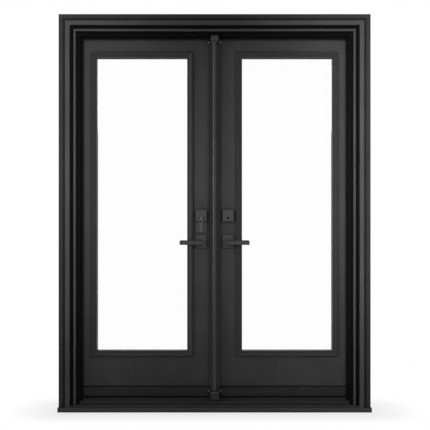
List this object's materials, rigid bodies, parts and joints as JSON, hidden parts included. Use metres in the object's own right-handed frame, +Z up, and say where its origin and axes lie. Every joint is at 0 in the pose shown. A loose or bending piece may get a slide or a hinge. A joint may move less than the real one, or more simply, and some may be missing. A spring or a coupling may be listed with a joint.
{
  "type": "double entry door with frame",
  "caption": "Pair of dark painted steel entry leaves with tall glass lites, levers and locks, hung in a stepped frame with sill and centre post.",
  "frame": {"origin": "middle of the sill's underside, in the plane of the wall face behind the casing", "axes": "+X to the right seen from outside, +Y inward through the doorway, +Z up"},
  "size_m": [1.762, 0.202, 2.236],
  "materials": {
    "casing_paint": "satin charcoal paint",
    "jamb_paint": "satin charcoal paint",
    "sill_metal": "dark anodised, fine brushed",
    "cap_plastic": "matte black",
    "seal_rubber": "soft black",
    "post_paint": "satin charcoal paint",
    "bright_steel": "bright steel",
    "hinge_metal": "satin black",
    "leaf_paint": "satin charcoal paint, fine grain",
    "core_wood": "timber edge with foam",
    "lite_moulding": "satin charcoal moulding",
    "glass": "clear",
    "spacer_plastic": "matte black",
    "rail_metal": "satin charcoal paint",
    "lock_metal": "matte black coating",
    "lever_metal": "matte black coating",
    "works_steel": "plain steel"
  },
  "bodies": {
    "frame": {"head_casing": "casing_paint", "left_casing": "casing_paint", "right_casing": "casing_paint", "head_jamb": "jamb_paint", "left_jamb": "jamb_paint", "right_jamb": "jamb_paint", "sill": "sill_metal", "sill_cap": "cap_plastic", "frame_seals": "seal_rubber", "centre_post": "post_paint", "post_head_bracket": "post_paint", "post_sill_bracket": "post_paint", "post_screws": "bright_steel", "strike_plates": "lock_metal", "hinge_frame_leaves": "hinge_metal", "hinge_pins": "hinge_metal"},
    "left_leaf": {"left_outer_skin": "leaf_paint", "left_inner_skin": "leaf_paint", "left_core": "core_wood", "left_outer_lite": "lite_moulding", "left_inner_lite": "lite_moulding", "left_glass": "glass", "left_spacer": "spacer_plastic", "left_drip_rail": "rail_metal", "left_hinge_leaves": "hinge_metal", "left_roses": "lock_metal", "left_cylinder_plate": "lock_metal", "left_turn_plate": "lock_metal", "left_latch_case": "works_steel", "left_bolt_case": "works_steel", "left_backplate": "lock_metal"},
    "left_lever": {"left_outer_lever": "lever_metal", "left_inner_lever": "lever_metal"},
    "left_latch": {"left_latch": "works_steel"},
    "left_turn": {"left_key_plug": "lock_metal", "left_thumb_turn": "lock_metal", "key": "bright_steel", "key_ring": "bright_steel", "spare_key": "bright_steel"},
    "left_bolt": {"left_bolt": "works_steel"},
    "right_leaf": {"right_outer_skin": "leaf_paint", "right_inner_skin": "leaf_paint", "right_core": "core_wood", "right_outer_lite": "lite_moulding", "right_inner_lite": "lite_moulding", "right_glass": "glass", "right_spacer": "spacer_plastic", "right_drip_rail": "rail_metal", "right_hinge_leaves": "hinge_metal", "right_roses": "lock_metal", "right_cylinder_plate": "lock_metal", "right_turn_plate": "lock_metal", "right_latch_case": "works_steel", "right_bolt_case": "works_steel"},
    "right_lever": {"right_outer_lever": "lever_metal", "right_inner_lever": "lever_metal"},
    "right_latch": {"right_latch": "works_steel"},
    "right_turn": {"right_key_plug": "lock_metal", "right_thumb_turn": "lock_metal"},
    "right_bolt": {"right_bolt": "works_steel"}
  },
  "joints": [
    {"name": "left_leaf_swing", "type": "hinge", "parent": "frame", "child": "left_leaf", "pos_m": [-0.7605, 0.119, 1], "axis": [0, 0, 1], "range_deg": [0, 110]},
    {"name": "left_lever_turn", "type": "hinge", "parent": "left_leaf", "child": "left_lever", "pos_m": [-0.0763, 0.09, 0.949], "axis": [0, -1, 0], "range_deg": [0, 45], "stiffness_Nm_per_rad": 2, "springref_deg": -20.05},
    {"name": "left_latch_slide", "type": "slide", "parent": "left_leaf", "child": "left_latch", "axis": [-1, 0, 0], "range_m": [0, 0.0127]},
    {"name": "left_lock_turn", "type": "hinge", "parent": "left_leaf", "child": "left_turn", "pos_m": [-0.0763, 0.09, 1.0887], "axis": [0, 1, 0], "range_deg": [0, 90]},
    {"name": "left_bolt_slide", "type": "slide", "parent": "left_leaf", "child": "left_bolt", "axis": [1, 0, 0], "range_m": [0, 0.014]},
    {"name": "right_leaf_swing", "type": "hinge", "parent": "frame", "child": "right_leaf", "pos_m": [0.7605, 0.119, 1], "axis": [0, 0, -1], "range_deg": [0, 110]},
    {"name": "right_lever_turn", "type": "hinge", "parent": "right_leaf", "child": "right_lever", "pos_m": [0.0763, 0.09, 0.949], "axis": [0, 1, 0], "range_deg": [0, 45], "stiffness_Nm_per_rad": 2, "springref_deg": -20.05},
    {"name": "right_latch_slide", "type": "slide", "parent": "right_leaf", "child": "right_latch", "axis": [1, 0, 0], "range_m": [0, 0.0127]},
    {"name": "right_lock_turn", "type": "hinge", "parent": "right_leaf", "child": "right_turn", "pos_m": [0.0763, 0.09, 1.0887], "axis": [0, -1, 0], "range_deg": [0, 90]},
    {"name": "right_bolt_slide", "type": "slide", "parent": "right_leaf", "child": "right_bolt", "axis": [-1, 0, 0], "range_m": [0, 0.014]}
  ],
  "couplings": [
    {"joint": "left_latch_slide", "follows": "left_lever_turn", "m_per_rad": 0.01617},
    {"joint": "left_bolt_slide", "follows": "left_lock_turn", "m_per_rad": 0.008912},
    {"joint": "right_latch_slide", "follows": "right_lever_turn", "m_per_rad": 0.01617},
    {"joint": "right_bolt_slide", "follows": "right_lock_turn", "m_per_rad": 0.008912}
  ]
}
